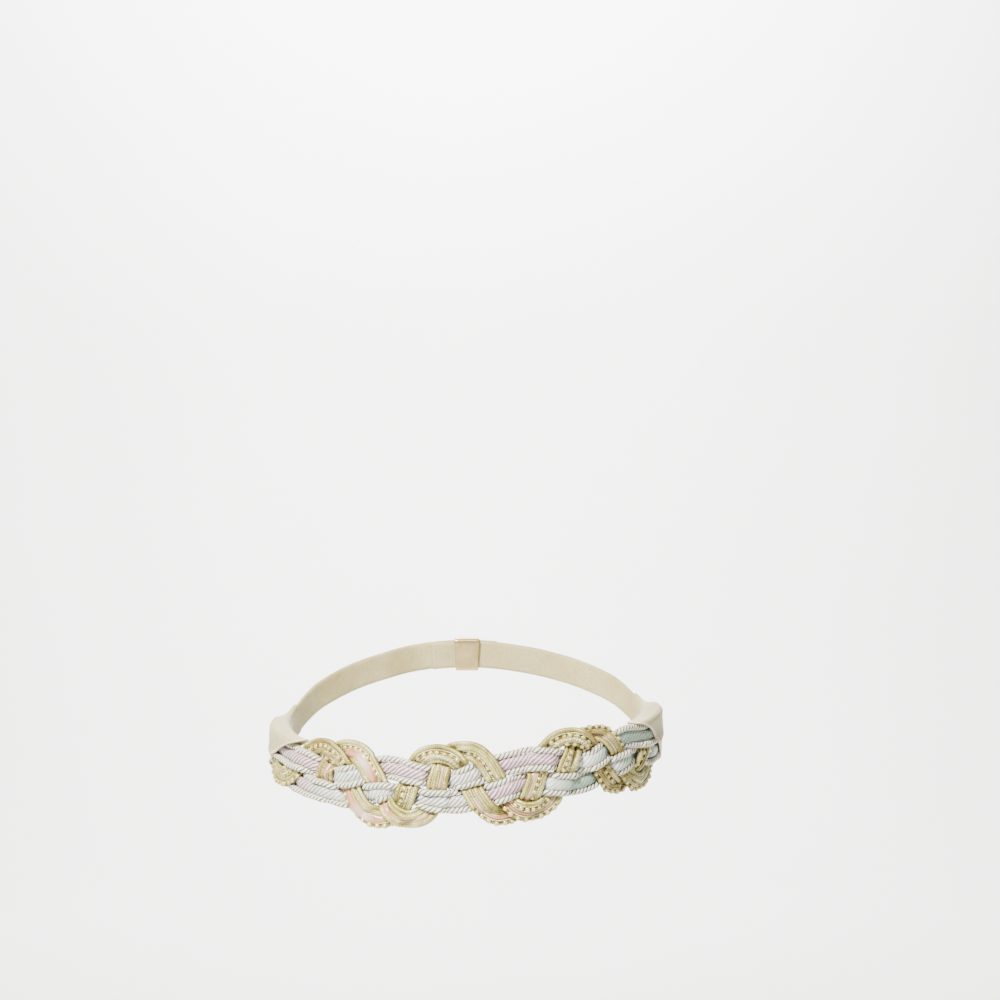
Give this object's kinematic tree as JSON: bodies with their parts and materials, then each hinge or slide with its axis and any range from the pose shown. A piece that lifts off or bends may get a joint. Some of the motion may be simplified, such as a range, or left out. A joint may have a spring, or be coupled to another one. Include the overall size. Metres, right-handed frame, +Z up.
{
  "type": "macrame belt",
  "caption": "Wide woven hip belt of twisted cords, metallic gimp, satin and pearl strings, its ends set in leather caps and closed behind by leather straps under a keeper.",
  "frame": {"origin": "middle of the loop, at the height of the woven band's middle line at the front, where the hips come through", "axes": "+Z up along the body as worn, -Y to the wearer's front, +X to the right as seen from the front"},
  "size_m": [0.3245, 0.2328, 0.109],
  "materials": {
    "cream_rope": "matte twisted cord",
    "coloured_cord": "glossy twisted cord in lavender, aqua and silver",
    "gold_gimp": "satin metallic gimp cord",
    "pink_satin": "glossy satin cord",
    "pearls": "pearlescent",
    "cream_leather": "slightly grainy satin",
    "brass": "brushed"
  },
  "bodies": {
    "root": {"upper_rope_strand": "coloured_cord", "lower_rope_strand": "cream_rope", "gold_strand_a": "gold_gimp", "gold_strand_b": "pearls", "left_end_cap": "cream_leather", "right_end_cap": "cream_leather", "left_strap": "cream_leather", "right_strap": "cream_leather", "back_keeper": "brass"}
  },
  "joints": []
}
